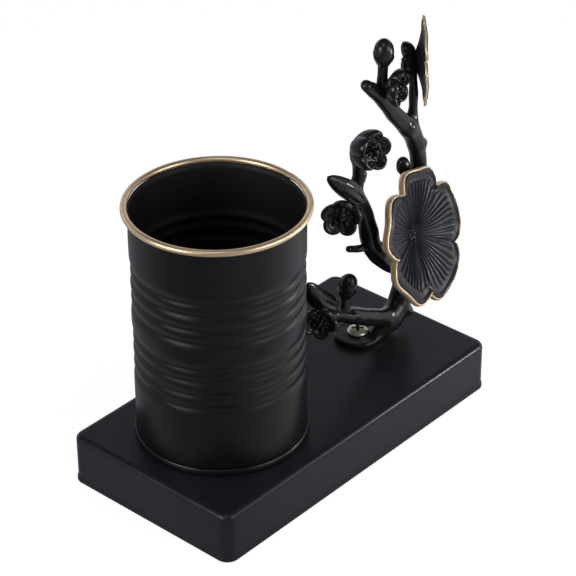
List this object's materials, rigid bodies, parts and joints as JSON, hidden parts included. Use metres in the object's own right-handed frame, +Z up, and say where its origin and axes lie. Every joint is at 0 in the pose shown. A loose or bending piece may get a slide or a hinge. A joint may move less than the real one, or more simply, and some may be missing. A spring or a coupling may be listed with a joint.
{
  "type": "pen holder",
  "caption": "Ribbed round metal cup with a gold rolled rim on a low rectangular base, beside a cast blossom branch with gold-edged flowers.",
  "frame": {"origin": "middle of the underside of the foam pad, on the surface that the part stands on", "axes": "+Z up, +X along the base from the cup to the branch, -Y to the front that the large lower flower faces"},
  "size_m": [0.1841, 0.091, 0.1756],
  "materials": {
    "satin_black_steel": "satin black paint on pressed steel",
    "gloss_black_casting": "semi-gloss black enamel on zinc casting",
    "satin_black_casting": "satin black enamel on zinc casting, with a gold-painted edge",
    "gold": "satin gold paint",
    "yellow_zinc": "yellow zinc plating",
    "core_board": "raw fibreboard",
    "foam_pad": "black foam rubber"
  },
  "bodies": {
    "root": {"base_shell": "satin_black_steel", "base_core": "core_board", "base_pad": "foam_pad", "cup_wall": "satin_black_steel", "cup_rim": "gold", "cup_bottom": "satin_black_steel", "cup_screw": "yellow_zinc", "cup_washer": "yellow_zinc", "cup_nut": "yellow_zinc", "branch": "gloss_black_casting", "crown_bud": "gloss_black_casting", "trunk_bud": "gloss_black_casting", "low_bud": "gloss_black_casting", "crown_blossom": "gloss_black_casting", "top_blossom": "gloss_black_casting", "bough_blossom": "gloss_black_casting", "side_blossom": "gloss_black_casting", "low_blossom": "gloss_black_casting", "bough_leaf": "gloss_black_casting", "low_leaf": "gloss_black_casting", "small_leaf": "gloss_black_casting", "lower_flower": "satin_black_casting", "lower_stamens": "gloss_black_casting", "upper_flower": "satin_black_casting", "upper_stamens": "gloss_black_casting", "branch_screw": "yellow_zinc", "branch_washer": "yellow_zinc", "branch_nut": "yellow_zinc"}
  },
  "joints": []
}
